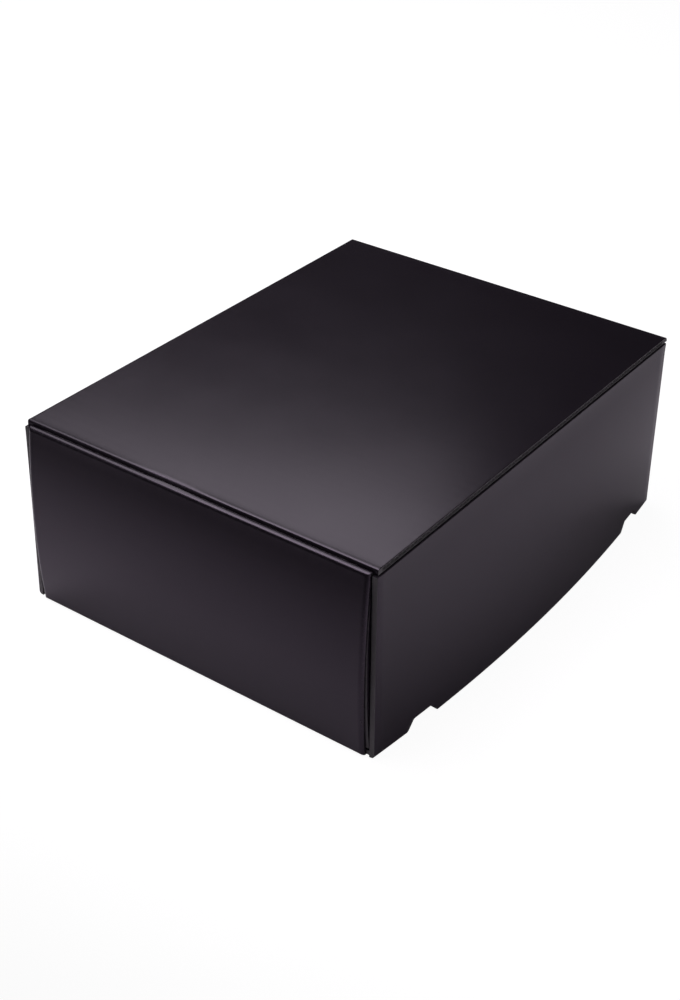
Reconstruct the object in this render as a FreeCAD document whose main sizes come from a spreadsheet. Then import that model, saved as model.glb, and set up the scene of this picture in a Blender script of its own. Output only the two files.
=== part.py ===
import FreeCAD, Part
import os

import Sketcher

# Roll-end mailer box, closed, made of one die-cut sheet of corrugated board.
# Each crease-bounded panel of the sheet is one piece. Millimetres, +Z up.
# The origin is under the middle of the box on the floor, the front faces -Y.

# Driving sizes: name, millimetres, meaning.
SIZES = [
    ("outer_width", 222.0, "across the two side walls at their tops"),
    ("outer_length", 293.0, "front wall to back wall, measured at their creases"),
    ("outer_height", 111.0, "floor to top of the closed lid"),
    ("board", 3.0, "thickness of the corrugated board"),
    ("ply_gap", 0.5, "air between the layers of a rolled side wall"),
    ("seat_gap", 0.3, "clearance under the closed lid and at its flap's crease"),
    ("edge_flat", 1.0, "flat left on the thickness of a folded edge"),
    ("side_bow", 10.7, "how far a side wall's foot bows outward at mid-length"),
    ("corner_splay", 1.5, "how far a side wall's foot stands out at its ends"),
    ("end_wall_bow", 3.0, "bulge of the front and back walls at mid-height"),
    ("wall_end_inset", 2.0, "outer side wall ends behind the front wall's face"),
    ("inner_end_gap", 1.0, "inner side wall ends short of the end walls"),
    ("lid_inset", 0.8, "lid's cut side edge inside the side wall's outer face"),
    ("lid_front_gap", 0.5, "lid's front crease behind the front wall"),
    ("flap_depth", 56.0, "tuck flap, crease to free edge"),
    ("flap_side_gap", 2.5, "tuck flap to inner side wall"),
    ("flap_taper", 5.0, "each end of the tuck flap narrows by this"),
    ("flap_corner", 14.0, "radius of the tuck flap's free corners"),
    ("swing_margin", 0.45, "extra lean of the tuck flap, in degrees, to clear the front wall"),
    ("corner_flap_length", 72.0, "corner flap, crease to free edge"),
    ("corner_flap_taper", 7.0, "each edge of a corner flap narrows by this"),
    ("corner_flap_corner", 12.0, "radius of a corner flap's free corners"),
    ("corner_flap_margin", 1.5, "corner flap to base and to side spine"),
    ("lock_length", 26.0, "lock notch along the side crease"),
    ("lock_height", 7.0, "lock notch up the outer side wall"),
    ("lock_slope", 6.0, "run of the slanted ends of a lock notch"),
    ("lock_corner", 2.0, "radius of the lock notch's upper corners"),
    ("front_foot", 26.0, "front end of the box to the front lock notch"),
    ("back_foot", 19.0, "back end of the box to the back lock notch"),
    ("tab_gap", 0.5, "clearance of a lock tab in its slot"),
    ("tab_taper", 3.0, "each end of a lock tab narrows by this"),
]

doc = FreeCAD.newDocument("MailerBox")
sheet = doc.addObject("Spreadsheet::Sheet", "Sizes")
for row, (alias, millimetres, meaning) in enumerate(SIZES, start=1):
    sheet.set(f"A{row}", alias)
    sheet.set(f"B{row}", str(millimetres))
    sheet.set(f"C{row}", meaning)
    sheet.setAlias(f"B{row}", alias)
doc.recompute()

# Sizes worked out from the driving ones, kept in one object so that every piece reads the same value.
DERIVED = [
    ("half_width", "Sizes.outer_width / 2"),
    ("half_length", "Sizes.outer_length / 2"),
    ("lid_underside", "Sizes.outer_height - Sizes.board"),
    ("wall_height", "Sizes.outer_height - Sizes.board - Sizes.seat_gap"),
    ("fold_height", "Derived.wall_height - Sizes.board"),
    ("side_rise", "Sizes.side_bow - Sizes.corner_splay"),
    ("side_radius", "(Derived.half_length ^ 2 + Derived.side_rise ^ 2) / (2 * Derived.side_rise)"),
    ("end_radius", "((Derived.wall_height / 2) ^ 2 + Sizes.end_wall_bow ^ 2) / (2 * Sizes.end_wall_bow)"),
    ("crease_radius", "Sizes.board - Sizes.edge_flat"),
    ("corner_radius", "Sizes.board - Sizes.edge_flat / 2"),
    ("flap_layer", "Sizes.board + Sizes.ply_gap"),
    ("inner_layer", "2 * Sizes.board + 2 * Sizes.ply_gap"),
    ("rolled_depth", "3 * Sizes.board + 2 * Sizes.ply_gap"),
    ("inner_end", "Derived.half_length - Sizes.board - Sizes.inner_end_gap"),
    ("front_lock_start", "Sizes.front_foot - Derived.half_length"),
    ("front_lock_end", "Derived.front_lock_start + Sizes.lock_length"),
    ("back_lock_end", "Derived.half_length - Sizes.back_foot"),
    ("back_lock_start", "Derived.back_lock_end - Sizes.lock_length"),
    ("lid_front", "Sizes.board + Sizes.lid_front_gap - Derived.half_length"),
    ("lid_reach", "Derived.half_length - Derived.lid_front"),
    ("flap_top", "Derived.lid_underside - Sizes.seat_gap"),
    ("flap_lean", "asin(Sizes.flap_depth / (2 * Derived.lid_reach)) / 1 deg + Sizes.swing_margin"),
    ("flap_half_width", "Derived.half_width - Derived.rolled_depth - Sizes.flap_side_gap"),
]
derived = doc.addObject("App::VarSet", "Derived")
for name, formula in DERIVED:
    derived.addProperty("App::PropertyFloat", name, "Derived")
    derived.setExpression(name, formula)
    doc.recompute()


def value(formula):
    """Number that a formula in the names of the sheet gives now."""
    return float(sheet.evalExpression(formula))


def side_bow_at(y):
    """Formula for the outward bow of a side wall's foot at the place y along the box."""
    drop = f"Derived.side_radius - sqrt(Derived.side_radius ^ 2 - ({y}) ^ 2)"
    return f"(Sizes.side_bow - ({drop}))"


def end_bow_at(z):
    """Formula for the bulge of the front or back wall at the height z."""
    from_middle = f"({z}) - Derived.wall_height / 2"
    drop = f"Derived.end_radius - sqrt(Derived.end_radius ^ 2 - ({from_middle}) ^ 2)"
    return f"(Sizes.end_wall_bow - ({drop}))"


def add_sketch(body, name, role, height=None):
    """Sketch on one of the body's own origin planes, lifted by the formula height."""
    sketch = body.newObject("Sketcher::SketchObject", name)
    plane = [feature for feature in body.Origin.OriginFeatures if feature.Role == role][0]
    sketch.AttachmentSupport = [(plane, "")]
    sketch.MapMode = "FlatFace"
    if height:
        sketch.setExpression("AttachmentOffset.Base.z", height)
    return sketch


def lock_point(sketch, geometry, end, point):
    """Tie one point of the sketch to the pair of formulas in point."""
    for direction, formula in zip(("DistanceX", "DistanceY"), point):
        place = value(formula)
        index = sketch.addConstraint(Sketcher.Constraint(direction, -1, 1, geometry, end, place))
        sketch.setExpression(f"Constraints[{index}]", formula)


def add_outline(sketch, corners):
    """Closed outline. A corner is (x, y), or (x, y, (mid x, mid y)) where an arc leaves it."""
    count = len(corners)
    places = [FreeCAD.Vector(value(corner[0]), value(corner[1]), 0) for corner in corners]
    ends = []
    for index, corner in enumerate(corners):
        start, stop = places[index], places[(index + 1) % count]
        if len(corner) == 3:
            middle = FreeCAD.Vector(value(corner[2][0]), value(corner[2][1]), 0)
            geometry = sketch.addGeometry(Part.Arc(start, middle, stop))
            marker = sketch.addGeometry(Part.Point(middle), True)
            lock_point(sketch, marker, 1, corner[2])
            sketch.addConstraint(Sketcher.Constraint("PointOnObject", marker, 1, geometry))
        else:
            geometry = sketch.addGeometry(Part.LineSegment(start, stop))
        first, last = (sketch.getPoint(geometry, end) for end in (1, 2))
        forward = first.distanceToPoint(start) < last.distanceToPoint(start)
        ends.append((geometry, 1, 2) if forward else (geometry, 2, 1))
    for index, corner in enumerate(corners):
        geometry, first, _ = ends[index]
        before, _, last = ends[index - 1]
        sketch.addConstraint(Sketcher.Constraint("Coincident", before, last, geometry, first))
        lock_point(sketch, geometry, first, corner[:2])


def add_pad(body, name, sketch, length, both_ways=False, reverse=False):
    """Raise a sketch by the formula length."""
    pad = body.newObject("PartDesign::Pad", name)
    pad.Profile = sketch
    pad.Midplane = both_ways
    pad.Reversed = reverse
    pad.setExpression("Length", length)
    doc.recompute()
    return pad


def cut_through(body, name, role, outlines, keep_inside=False):
    """Cut outlines right through the body, or cut away all that is outside the one outline."""
    before = body.Shape.Volume
    sketch = add_sketch(body, name + "_outline", role)
    for corners in outlines:
        add_outline(sketch, corners)
    if keep_inside:
        reach = "2 * Sizes.outer_length"
        square = [(f"-{reach}", f"-{reach}"), (reach, f"-{reach}"), (reach, reach), (f"-{reach}", reach)]
        add_outline(sketch, square)
    pocket = body.newObject("PartDesign::Pocket", name)
    pocket.Profile = sketch
    pocket.Type = "ThroughAll"
    pocket.Midplane = True
    doc.recompute()
    if body.Shape.Volume >= before:
        raise RuntimeError(f"{name} cut nothing from {body.Label}")
    return pocket


def round_edges(body, name, radius, belongs):
    """Round every edge of the body for which belongs(edge) is true."""
    tip = body.Tip
    names = [f"Edge{i}" for i, edge in enumerate(tip.Shape.Edges, start=1) if belongs(edge)]
    if not names:
        raise RuntimeError(f"{name} found no edge on {body.Label}")
    fillet = body.newObject("PartDesign::Fillet", name)
    fillet.Base = (tip, names)
    fillet.setExpression("Radius", radius)
    doc.recompute()
    return fillet


def midpoint(edge):
    """Point half way along an edge."""
    return edge.valueAt((edge.FirstParameter + edge.LastParameter) / 2)


def add_body(name):
    """Body whose label is the piece's name."""
    body = doc.addObject("PartDesign::Body", name)
    body.Label = name
    return body


def bowed_outline(right, left):
    """Plan of the foot between two faces, each an arc that bows outward at mid-length.

    right and left are pairs: the formula of the face at the wall's top, and the side, 1 or -1, it bows to.
    """
    front, back = "-Derived.half_length", "Derived.half_length"
    corners = []
    for (face, side), start, stop in ((right, front, back), (left, back, front)):
        splayed = f"{face} + {side} * Sizes.corner_splay"
        bowed = f"{face} + {side} * Sizes.side_bow"
        corners += [(splayed, start, (bowed, "0 * Sizes.board")), (splayed, stop)]
    return corners


def add_layer(body, depth, thickness):
    """One layer of the right side wall, from depth inside its outer face, of the given thickness.

    It is upright and bowed as high as the board is thick, then leans in to the straight fold at the top.
    """
    right = f"Derived.half_width - {depth}"
    left = f"{right} - {thickness}"
    foot = add_sketch(body, "foot_section", "XY_Plane", "Sizes.board")
    add_outline(foot, bowed_outline((right, 1), (left, 1)))
    add_pad(body, "foot", foot, "Sizes.board", reverse=True)
    fold = add_sketch(body, "fold_section", "XY_Plane", "Derived.fold_height")
    front, back = "-Derived.half_length", "Derived.half_length"
    add_outline(fold, [(right, front), (right, back), (left, back), (left, front)])
    loft = body.newObject("PartDesign::AdditiveLoft", "leaning_wall")
    loft.Profile = foot
    loft.Sections = [fold]
    loft.Ruled = True
    doc.recompute()
    add_pad(body, "fold", fold, "Sizes.board")


# Places along the side crease where each lock notch starts and ends.
LOCKS = [
    ("Derived.front_lock_start", "Derived.front_lock_end"),
    ("Derived.back_lock_start", "Derived.back_lock_end"),
]


def mirror_to_left(body):
    """Left-hand twin of a right-hand piece."""
    name = body.Label.replace("right_", "left_")
    twin = doc.addObject("Part::Mirroring", name)
    twin.Label = name
    twin.Source = body
    twin.Base = FreeCAD.Vector(0, 0, 0)
    twin.Normal = FreeCAD.Vector(1, 0, 0)
    return twin


# Base panel: fills the foot between the outer side walls, with four slots for the lock tabs.
def make_base_panel():
    body = add_body("base_panel")
    face = "Derived.half_width - Sizes.board"
    floor = add_sketch(body, "floor_outline", "XY_Plane")
    add_outline(floor, bowed_outline((face, 1), (f"-({face})", -1)))
    add_pad(body, "floor", floor, "Sizes.board")
    end = "Derived.half_length - Sizes.board"
    above, below = "2 * Sizes.board", "-Sizes.board"
    cut_through(body, "cut_ends", "YZ_Plane", [[
        (f"-({end})", below), (end, below), (end, above), (f"-({end})", above),
    ]], keep_inside=True)
    slots = []
    for side in (1, -1):
        for start, stop in LOCKS:
            inner = "Derived.half_width - Derived.rolled_depth - Sizes.tab_gap"
            outer = f"{side} * (Derived.half_width + 2 * Sizes.side_bow)"
            near_start = f"{side} * ({inner} + {side_bow_at(start)})"
            near_stop = f"{side} * ({inner} + {side_bow_at(stop)})"
            slots.append([(near_start, start), (outer, start), (outer, stop), (near_stop, stop)])
    cut_through(body, "lock_slots", "XY_Plane", slots)
    return body


# Front or back wall: bulged panel, folded at the foot, at both ends and perhaps at the top.
def make_end_wall(name, side, folded_top):
    body = add_body(name)
    zero, top, middle = "0 * Sizes.board", "Derived.wall_height", "Derived.wall_height / 2"
    outer = f"{side} * Derived.half_length"
    inner = f"{side} * (Derived.half_length - Sizes.board)"
    bulge = f"{side} * Sizes.end_wall_bow"
    profile = add_sketch(body, "bulged_profile", "YZ_Plane")
    add_outline(profile, [
        (outer, zero, (f"{outer} + {bulge}", middle)),
        (outer, top),
        (inner, top, (f"{inner} + {bulge}", middle)),
        (inner, zero),
    ])
    half = "(Derived.half_width - Derived.flap_layer)"
    add_pad(body, "panel", profile, f"2 * {half}", both_ways=True)

    def is_outside(place):
        return side * place.y > value("Derived.half_length") + value(end_bow_at(str(place.z))) - 0.1

    def is_end_crease(edge):
        return edge.BoundBox.ZLength > 0.9 * value(top) and is_outside(midpoint(edge))

    def is_level_crease(edge):
        place = midpoint(edge)
        at_foot = abs(place.z) < 0.1
        at_top = folded_top and abs(place.z - value(top)) < 0.1
        return edge.BoundBox.XLength > value(half) and (at_foot or at_top) and is_outside(place)

    round_edges(body, "end_creases", "Derived.corner_radius", is_end_crease)
    round_edges(body, "level_creases", "Derived.crease_radius", is_level_crease)
    return body


# Right outer side wall: bowed foot with two lock notches, folded at the foot and at the top.
def make_outer_side_wall():
    body = add_body("right_outer_side_wall")
    add_layer(body, "0 * Sizes.board", "Sizes.board")
    end = "(Derived.half_length - Sizes.wall_end_inset)"
    above, below = "2 * Derived.wall_height", "-Derived.wall_height"
    cut_through(body, "cut_ends", "YZ_Plane", [[
        (f"-{end}", below), (end, below), (end, above), (f"-{end}", above),
    ]], keep_inside=True)
    notches = []
    for start, stop in LOCKS:
        slant = "Sizes.lock_slope / Sizes.lock_height * Sizes.board"
        notches.append([
            (f"{start} - {slant}", "-Sizes.board"),
            (f"{stop} + {slant}", "-Sizes.board"),
            (f"{stop} - Sizes.lock_slope", "Sizes.lock_height"),
            (f"{start} + Sizes.lock_slope", "Sizes.lock_height"),
        ])
    cut_through(body, "lock_notches", "YZ_Plane", notches)

    def is_notch_corner(edge):
        place = midpoint(edge)
        across = abs(edge.tangentAt(edge.FirstParameter).x) > 0.9
        return across and abs(place.z - value("Sizes.lock_height")) < 0.1

    round_edges(body, "notch_corners", "Sizes.lock_corner", is_notch_corner)

    def is_crease(edge):
        place = midpoint(edge)
        box = edge.BoundBox
        level = box.ZLength < 0.01 and box.YLength > 3
        foot = value("Derived.half_width") + value(side_bow_at(str(place.y)))
        at_foot = abs(place.z) < 0.1 and place.x > foot - 0.2
        at_top = abs(place.z - value("Derived.wall_height")) < 0.1 and place.x > value("Derived.half_width") - 0.2
        return level and (at_foot or at_top)

    round_edges(body, "creases", "Derived.crease_radius", is_crease)
    return body


# Right side spine: narrow strip between the creases on top of the rolled side wall.
def make_side_spine():
    body = add_body("right_side_spine")
    strip = add_sketch(body, "strip_outline", "XY_Plane", "Derived.fold_height")
    right, left = "Derived.half_width - Sizes.board", "Derived.half_width - Derived.inner_layer"
    front, back = "-Derived.inner_end", "Derived.inner_end"
    add_outline(strip, [(right, front), (right, back), (left, back), (left, front)])
    add_pad(body, "strip", strip, "Sizes.board")
    return body


# Right inner side wall: second layer, standing on the base, with two tabs down into the base's slots.
def make_inner_side_wall():
    body = add_body("right_inner_side_wall")
    add_layer(body, "Derived.inner_layer", "Sizes.board")
    end = "Derived.inner_end"
    foot, tip, above = "Sizes.board + Sizes.tab_gap", "Sizes.tab_gap", "2 * Derived.wall_height"
    corners = [(f"-{end}", foot)]
    for start, stop in LOCKS:
        corners += [
            (f"{start} + Sizes.tab_gap", foot),
            (f"{start} + Sizes.tab_gap + Sizes.tab_taper", tip),
            (f"{stop} - Sizes.tab_gap - Sizes.tab_taper", tip),
            (f"{stop} - Sizes.tab_gap", foot),
        ]
    corners += [(end, foot), (end, above), (f"-{end}", above)]
    cut_through(body, "wall_with_tabs", "YZ_Plane", [corners], keep_inside=True)

    def is_top_crease(edge):
        place = midpoint(edge)
        inner_face = value("Derived.half_width - Derived.rolled_depth")
        at_top = abs(place.z - value("Derived.wall_height")) < 0.1
        return at_top and edge.BoundBox.YLength > 3 and place.x < inner_face + 0.2

    round_edges(body, "top_crease", "Derived.crease_radius", is_top_crease)
    return body


# Right corner flap of the front or back wall, held between the two layers of the side wall.
def make_corner_flap(name, side):
    body = add_body(name)
    add_layer(body, "Derived.flap_layer", "Sizes.board")
    low = "(Sizes.board + Sizes.corner_flap_margin)"
    high = "(Derived.fold_height - Sizes.corner_flap_margin)"
    face = "(Derived.half_length - Sizes.board)"
    root = f"{side} * ({face} + {end_bow_at(low)})"
    bulged = f"{side} * ({face} + Sizes.end_wall_bow)"
    free = f"{side} * ({face} - Sizes.corner_flap_length)"
    cut_through(body, "flap_outline", "YZ_Plane", [[
        (root, low, (bulged, "Derived.wall_height / 2")),
        (root, high),
        (free, f"{high} - Sizes.corner_flap_taper"),
        (free, f"{low} + Sizes.corner_flap_taper"),
    ]], keep_inside=True)

    def is_free_corner(edge):
        place = midpoint(edge)
        across = abs(edge.tangentAt(edge.FirstParameter).x) > 0.9
        return across and abs(place.y - value(free)) < 0.1

    round_edges(body, "free_corners", "Sizes.corner_flap_corner", is_free_corner)
    return body


# Lid panel: flat top, folded down at the back onto the hinge crease and at the front into the tuck flap.
def make_lid_panel():
    body = add_body("lid_panel")
    outline = add_sketch(body, "lid_outline", "XY_Plane", "Derived.lid_underside")
    side = "(Derived.half_width - Sizes.lid_inset)"
    front, back = "Derived.lid_front", "Derived.half_length"
    add_outline(outline, [(f"-{side}", front), (side, front), (side, back), (f"-{side}", back)])
    add_pad(body, "panel", outline, "Sizes.board")

    def is_crease(edge):
        place = midpoint(edge)
        along = edge.BoundBox.XLength > 3
        return along and place.z > value("Sizes.outer_height") - 0.1

    round_edges(body, "creases", "Derived.corner_radius", is_crease)
    return body


# Tuck flap: hangs from the lid's front crease and leans inward, so that it clears the front wall as the lid turns.
def make_lid_tuck_flap():
    body = add_body("lid_tuck_flap")
    lean = "Derived.flap_lean * 1 deg"
    front, top = "Derived.lid_front", "Derived.flap_top"
    run = f"Sizes.flap_depth * sin({lean})"
    fall = f"Sizes.flap_depth * cos({lean})"
    across = f"Sizes.board / cos({lean})"
    profile = add_sketch(body, "leaning_profile", "YZ_Plane")
    add_outline(profile, [
        (front, top),
        (f"{front} + {run}", f"{top} - {fall}"),
        (f"{front} + {run} + Sizes.board * cos({lean})", f"{top} - {fall} + Sizes.board * sin({lean})"),
        (f"{front} + {across}", top),
    ])
    add_pad(body, "panel", profile, "2 * Derived.flap_half_width", both_ways=True)
    low = f"({top} - Sizes.flap_depth)"
    half = "Derived.flap_half_width"
    above = f"({top} + Sizes.flap_depth)"
    cut_through(body, "tapered_ends", "XZ_Plane", [[
        (f"-({half} - Sizes.flap_taper)", low),
        (f"{half} - Sizes.flap_taper", low),
        (f"{half} + Sizes.flap_taper", above),
        (f"-({half} + Sizes.flap_taper)", above),
    ]], keep_inside=True)

    def is_free_corner(edge):
        place = midpoint(edge)
        short = edge.Length < 2 * value("Sizes.board")
        return short and place.z < value(f"{top} - {fall}") + value("Sizes.board")

    round_edges(body, "free_corners", "Sizes.flap_corner", is_free_corner)
    return body


make_base_panel()
make_end_wall("front_wall", -1, folded_top=False)
make_end_wall("back_wall", 1, folded_top=True)
make_lid_panel()
make_lid_tuck_flap()
for right_piece in (
    make_outer_side_wall(),
    make_side_spine(),
    make_inner_side_wall(),
    make_corner_flap("right_front_corner_flap", -1),
    make_corner_flap("right_back_corner_flap", 1),
):
    mirror_to_left(right_piece)
doc.recompute()

# Every feature has to be sound before a piece is written.
for feature in doc.Objects:
    if any(word in feature.State for word in ("Invalid", "Error")):
        raise RuntimeError(f"{feature.Label} failed: {feature.State}")

pieces = [item for item in doc.Objects if item.TypeId in ("PartDesign::Body", "Part::Mirroring")]
for piece in pieces:
    if piece.Shape.isNull() or not piece.Shape.isValid() or len(piece.Shape.Solids) != 1:
        raise RuntimeError(f"{piece.Label} isn't one sound solid")

os.makedirs("parts", exist_ok=True)
for piece in pieces:
    piece.Shape.exportStep(f"parts/{piece.Label}.step")
    box = piece.Shape.optimalBoundingBox()
    size = f"{box.XLength:.1f} x {box.YLength:.1f} x {box.ZLength:.1f}"
    print(f"{piece.Label}: {size} mm, {piece.Shape.Volume / 1000:.2f} cm3")
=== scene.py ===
import math

import bmesh
import bpy
from bpy.props import FloatProperty, FloatVectorProperty, PointerProperty
from mathutils import Euler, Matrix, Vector, noise


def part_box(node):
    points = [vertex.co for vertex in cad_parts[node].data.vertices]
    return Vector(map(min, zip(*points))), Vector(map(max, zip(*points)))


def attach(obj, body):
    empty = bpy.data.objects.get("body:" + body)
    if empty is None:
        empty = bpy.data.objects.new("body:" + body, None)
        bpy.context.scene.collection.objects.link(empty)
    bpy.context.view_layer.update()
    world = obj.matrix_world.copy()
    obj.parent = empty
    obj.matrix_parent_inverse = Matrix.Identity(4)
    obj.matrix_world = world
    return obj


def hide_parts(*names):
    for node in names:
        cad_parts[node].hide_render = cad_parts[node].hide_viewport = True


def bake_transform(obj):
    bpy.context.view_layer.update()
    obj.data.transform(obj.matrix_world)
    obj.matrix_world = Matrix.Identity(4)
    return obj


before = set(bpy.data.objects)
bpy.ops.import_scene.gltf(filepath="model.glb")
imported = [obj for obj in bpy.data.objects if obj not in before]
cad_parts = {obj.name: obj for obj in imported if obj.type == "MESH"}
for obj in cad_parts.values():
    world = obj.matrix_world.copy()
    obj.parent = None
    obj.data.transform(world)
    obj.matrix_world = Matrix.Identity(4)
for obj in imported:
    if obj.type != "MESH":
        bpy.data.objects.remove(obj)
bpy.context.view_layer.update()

bl_info = {
    "name": "Corrugated mailer box",
    "version": (1, 0, 0),
    "blender": (4, 5, 0),
    "location": "View3D > Sidebar > Mailer Box",
    "description": "Dresses a roll-end mailer box: laminated liners, raw fluted edges, creases and a stage",
    "category": "Object",
}

MM = 0.001

# Sizes of the folded box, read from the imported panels, in metres.
LID_LOW, LID_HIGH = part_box("lid_panel")
FLAP_LOW, FLAP_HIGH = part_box("lid_tuck_flap")
SPINE_LOW, SPINE_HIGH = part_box("right_side_spine")
OUTER_LOW, OUTER_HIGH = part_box("right_outer_side_wall")
INNER_LOW, INNER_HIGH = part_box("right_inner_side_wall")
CORNER_LOW, CORNER_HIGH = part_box("right_back_corner_flap")
BASE_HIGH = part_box("base_panel")[1]
BACK_LOW, BACK_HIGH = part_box("back_wall")
BOARD = LID_HIGH.z - LID_LOW.z
WALL_HEIGHT = SPINE_HIGH.z
FOLD_HEIGHT = SPINE_LOW.z
HALF_WIDTH = SPINE_HIGH.x + BOARD
HALF_LENGTH = BACK_LOW.y + BOARD
PLY_GAP = (SPINE_HIGH.x - SPINE_LOW.x - BOARD) / 2
FLAP_DEPTH = BOARD + PLY_GAP
INNER_DEPTH = 2 * FLAP_DEPTH
SIDE_BOW = BASE_HIGH.x + BOARD - HALF_WIDTH
END_BOW = BACK_HIGH.y - HALF_LENGTH

# Sizes that a box around a panel doesn't show, as in the solids.
CORNER_SPLAY = 1.5 * MM
EDGE_FLAT = 1.0 * MM
CREASE_RADIUS = BOARD - EDGE_FLAT
CORNER_RADIUS = BOARD - EDGE_FLAT / 2
BACK_CREASE_END = HALF_WIDTH - FLAP_DEPTH - CORNER_RADIUS
FLAP_TAPER = 5.0 * MM
FLAP_CORNER = 14.0 * MM
CORNER_FLAP_TAPER = 7.0 * MM
CORNER_FLAP_CORNER = 12.0 * MM
LOCK_LENGTH = 26.0 * MM
LOCK_HEIGHT = 7.0 * MM
LOCK_SLOPE = 6.0 * MM
LOCK_CORNER = 2.0 * MM
FRONT_FOOT = 26.0 * MM
BACK_FOOT = 19.0 * MM
TAB_GAP = 0.5 * MM
TAB_TAPER = 3.0 * MM
LOCKS = (
    (FRONT_FOOT - HALF_LENGTH, FRONT_FOOT - HALF_LENGTH + LOCK_LENGTH),
    (HALF_LENGTH - BACK_FOOT - LOCK_LENGTH, HALF_LENGTH - BACK_FOOT),
)

# Sizes that only the dressed box has. Radii of the folds: the front wall's top is crushed, and the lid
# presses on the side walls' tops, so those fold more tightly.
CRUSHED_EDGE = 1.6 * MM
TIGHT_FOLD = 1.1 * MM
SIDE_FOLD = 0.6 * MM
# Distance from a raw edge to an extra line of points, which keeps the rounding's shading narrow.
PRESSED_EDGE = 0.8 * MM
# Thickness of the creases' strips.
SKIN = 0.3 * MM
# The front wall's top stands before the lid's folded edge, a little over its underside.
FRONT_RISE = 1.2 * MM
# Width of the worn stripe beside a fold.
WORN_WIDTH = 0.7 * BOARD
# Dips of a warped panel to the metre.
WARP_PITCH = 14
# The lid's front fold is softer here, as a share of its length, and this far to either side.
BUCKLE_PLACE = 0.44
BUCKLE_SPREAD = 17 * MM
# Faces that meet at a sharper angle than this, in degrees, keep their edge.
SMOOTH_ANGLE = 38

# Soft boxes: name, place, turn about the vertical and tilt in degrees, size, name of the power setting.
LAMPS = (
    ("key_softbox", (-0.50, 0.30, 0.8), 24, 0, (0.60, 0.95), "key_power"),
    ("fill_softbox", (-0.13, -0.19, 0.56), 0, 0, (0.4, 0.4), "fill_power"),
    ("side_softbox", (1.15, 0.0, 0.4), 0, 60, (0.5, 0.8), "side_power"),
)
# Level of the burnt-out floor, and the share of it that the camera sees.
FLOOR_GLOW = 1.18
GLOW_SHARE = 0.8
# Painted shade on the floor: in front of the box its colour darkens between these places along Y, down to the
# colour below, for the front wall to mirror.
FLOOR_SHADE_START, FLOOR_SHADE_FULL = -0.15, -0.36
FLOOR_SHADE_COLOUR = (0.1, 0.1, 0.1, 1)
# The surroundings brighten from the first to the second height, where 1 is straight up.
SKY_LOW, SKY_HIGH = 0.55, 1.0
CAMERA_PLACE = (0.4432, -0.6447, 0.5399)
CAMERA_TURN = (56.867, -1.148, 35.732)
CAMERA_LENS = 58.96
CAMERA_SHIFT = (-0.0073, 0.0025)


def linear(hex_colour):
    """Linear colour of an sRGB hex value such as #1a181b."""
    channels = [int(hex_colour[place:place + 2], 16) / 255 for place in (1, 3, 5)]
    return tuple(c / 12.92 if c <= 0.04045 else ((c + 0.055) / 1.055) ** 2.4 for c in channels)


class MailerBoardSettings(bpy.types.PropertyGroup):
    """Sizes and colours of the board."""

    flute_pitch: FloatProperty(
        name="Flute pitch", description="Length of one wave of the fluted sheet",
        default=6.5 * MM, min=1 * MM, unit="LENGTH")
    liner: FloatProperty(
        name="Liner", description="Thickness of each outer sheet as its cut edge shows",
        default=0.35 * MM, min=0.1 * MM, unit="LENGTH")
    web: FloatProperty(
        name="Fluted sheet", description="Thickness of the fluted sheet as its cut edge shows",
        default=0.3 * MM, min=0.1 * MM, unit="LENGTH")
    edge_depth: FloatProperty(
        name="Open edge depth", description="How deep the flutes look at a raw edge",
        default=0.5 * MM, min=0.1 * MM, unit="LENGTH")
    cut_rounding: FloatProperty(
        name="Cut rounding", description="Rounding that the die leaves on a cut edge",
        default=0.12 * MM, min=0.0, unit="LENGTH")
    buckle: FloatProperty(
        name="Buckle", description="How much rounder the lid's front fold is where it buckled",
        default=1.6 * MM, min=0.0, unit="LENGTH")
    warp: FloatProperty(
        name="Warp", description="How far a panel dips out of true",
        default=0.25 * MM, min=0.0, unit="LENGTH")
    grid: FloatProperty(
        name="Grid", description="Spacing of a panel's mesh lines",
        default=6.0 * MM, min=1 * MM, unit="LENGTH")
    film_colour: FloatVectorProperty(
        name="Printed side", description="Black print under matt film",
        subtype="COLOR", default=linear("#1a151c"), min=0, max=1)
    scuff_colour: FloatVectorProperty(
        name="Worn crease", description="Film stressed along a fold",
        subtype="COLOR", default=linear("#29262b"), min=0, max=1)
    liner_colour: FloatVectorProperty(
        name="Inner side", description="Uncoated black liner",
        subtype="COLOR", default=linear("#232022"), min=0, max=1)
    edge_colour: FloatVectorProperty(
        name="Cut edge", description="Raw edge of the dyed board",
        subtype="COLOR", default=linear("#6b676b"), min=0, max=1)


class MailerStageSettings(bpy.types.PropertyGroup):
    """Floor, lamps and camera."""

    key_power: FloatProperty(
        name="Key light", description="Power of the soft box that hangs over the box's back left side",
        default=3.8, min=0.0, unit="POWER")
    fill_power: FloatProperty(
        name="Fill light", description="Power of the soft box over the front of the box",
        default=1.75, min=0.0, unit="POWER")
    side_power: FloatProperty(
        name="Side light", description="Power of the low soft box to the box's right",
        default=2.4, min=0.0, unit="POWER")
    low_sky: FloatProperty(
        name="Low surroundings", description="Brightness of the dim room near the horizon",
        default=0.018, min=0.0)
    high_sky: FloatProperty(
        name="High surroundings", description="Brightness of the room overhead",
        default=0.15, min=0.0)
    floor_colour: FloatVectorProperty(
        name="Floor", description="Plain pale floor",
        subtype="COLOR", default=linear("#f6eff8"), min=0, max=1)


# Materials. Each is named for the finish it stands for.


def add_node(tree, kind, inputs=(), **settings):
    """New node with its settings. inputs pairs a socket with a value or with the socket that feeds it."""
    node = tree.nodes.new(kind)
    for key, setting in settings.items():
        setattr(node, key, setting)
    for socket, source in dict(inputs).items():
        if isinstance(source, bpy.types.NodeSocket):
            tree.links.new(source, node.inputs[socket])
        else:
            node.inputs[socket].default_value = source
    return node


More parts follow.
